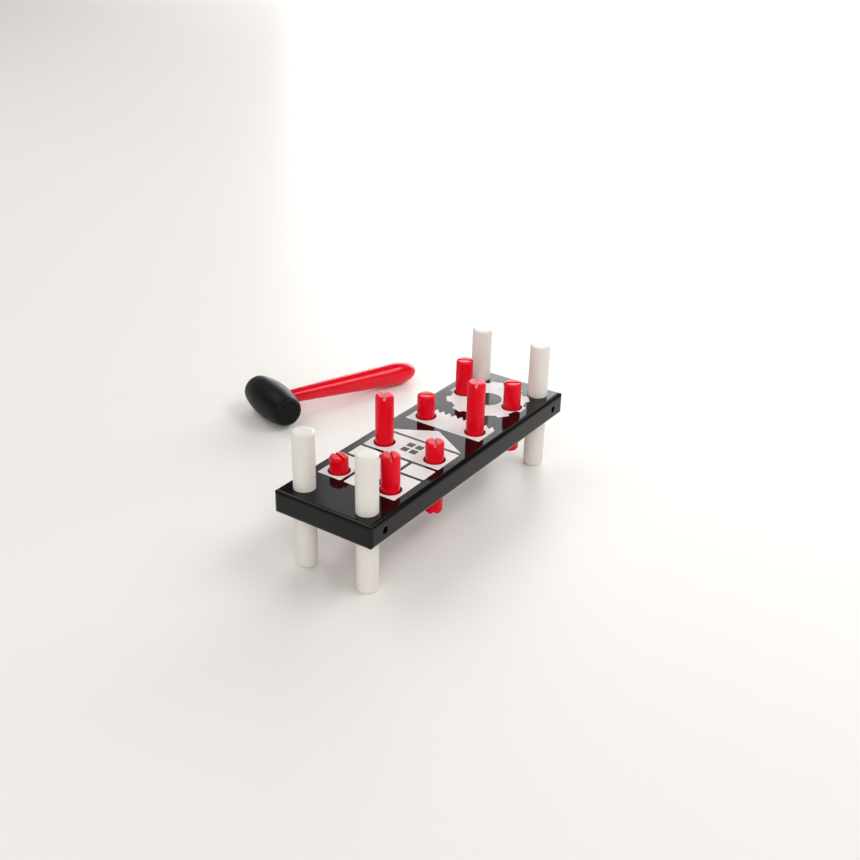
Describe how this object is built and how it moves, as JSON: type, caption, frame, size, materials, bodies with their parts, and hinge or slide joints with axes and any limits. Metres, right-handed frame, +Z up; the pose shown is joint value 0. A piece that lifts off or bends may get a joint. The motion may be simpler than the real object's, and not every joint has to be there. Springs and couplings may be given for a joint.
{
  "type": "toy workbench",
  "caption": "Lacquered pounding bench on through legs, with two rows of slotted pegs to hammer down and a barrel-headed wooden mallet lying beside it.",
  "frame": {"origin": "on the floor, in the plane of the bench's feet, under the middle of the board", "axes": "+X along the board, +Y towards the back, where the mallet lies, +Z up"},
  "size_m": [0.3433, 0.2963, 0.115],
  "materials": {
    "board_lacquer": "semi-gloss black lacquer over hardwood, with matte off-white printed panels on its top",
    "leg_lacquer": "satin off-white lacquer over turned hardwood",
    "pin_steel": "plain steel, sunk in its hole",
    "peg_lacquer": "satin red lacquer over turned hardwood",
    "head_lacquer": "satin black lacquer over turned hardwood",
    "handle_lacquer": "glossy red lacquer over turned hardwood"
  },
  "bodies": {
    "bench": {"board": "board_lacquer", "leg_front_left": "leg_lacquer", "leg_front_right": "leg_lacquer", "leg_back_left": "leg_lacquer", "leg_back_right": "leg_lacquer", "lock_pins": "pin_steel"},
    "peg_front_1": {"peg_front_1": "peg_lacquer"},
    "peg_front_2": {"peg_front_2": "peg_lacquer"},
    "peg_front_3": {"peg_front_3": "peg_lacquer"},
    "peg_front_4": {"peg_front_4": "peg_lacquer"},
    "peg_back_1": {"peg_back_1": "peg_lacquer"},
    "peg_back_2": {"peg_back_2": "peg_lacquer"},
    "peg_back_3": {"peg_back_3": "peg_lacquer"},
    "peg_back_4": {"peg_back_4": "peg_lacquer"},
    "mallet": {"mallet_head": "head_lacquer", "mallet_handle": "handle_lacquer"}
  },
  "joints": [
    {"name": "peg_front_1_drive", "type": "slide", "parent": "bench", "child": "peg_front_1", "axis": [0, 0, 1], "range_m": [-0.0302, 0.0158]},
    {"name": "peg_front_2_drive", "type": "slide", "parent": "bench", "child": "peg_front_2", "axis": [0, 0, 1], "range_m": [-0.0165, 0.0295]},
    {"name": "peg_front_3_drive", "type": "slide", "parent": "bench", "child": "peg_front_3", "axis": [0, 0, 1], "range_m": [-0.0456, 0.0004]},
    {"name": "peg_front_4_drive", "type": "slide", "parent": "bench", "child": "peg_front_4", "axis": [0, 0, 1], "range_m": [-0.0231, 0.0229]},
    {"name": "peg_back_1_drive", "type": "slide", "parent": "bench", "child": "peg_back_1", "axis": [0, 0, 1], "range_m": [-0.0129, 0.0331]},
    {"name": "peg_back_2_drive", "type": "slide", "parent": "bench", "child": "peg_back_2", "axis": [0, 0, 1], "range_m": [-0.0425, 0.0035]},
    {"name": "peg_back_3_drive", "type": "slide", "parent": "bench", "child": "peg_back_3", "axis": [0, 0, 1], "range_m": [-0.0202, 0.0258]},
    {"name": "peg_back_4_drive", "type": "slide", "parent": "bench", "child": "peg_back_4", "axis": [0, 0, 1], "range_m": [-0.0309, 0.0151]},
    {"name": "mallet_lift", "type": "slide", "parent": "bench", "child": "mallet", "axis": [0, 0, 1], "range_m": [0, 0.2]}
  ]
}
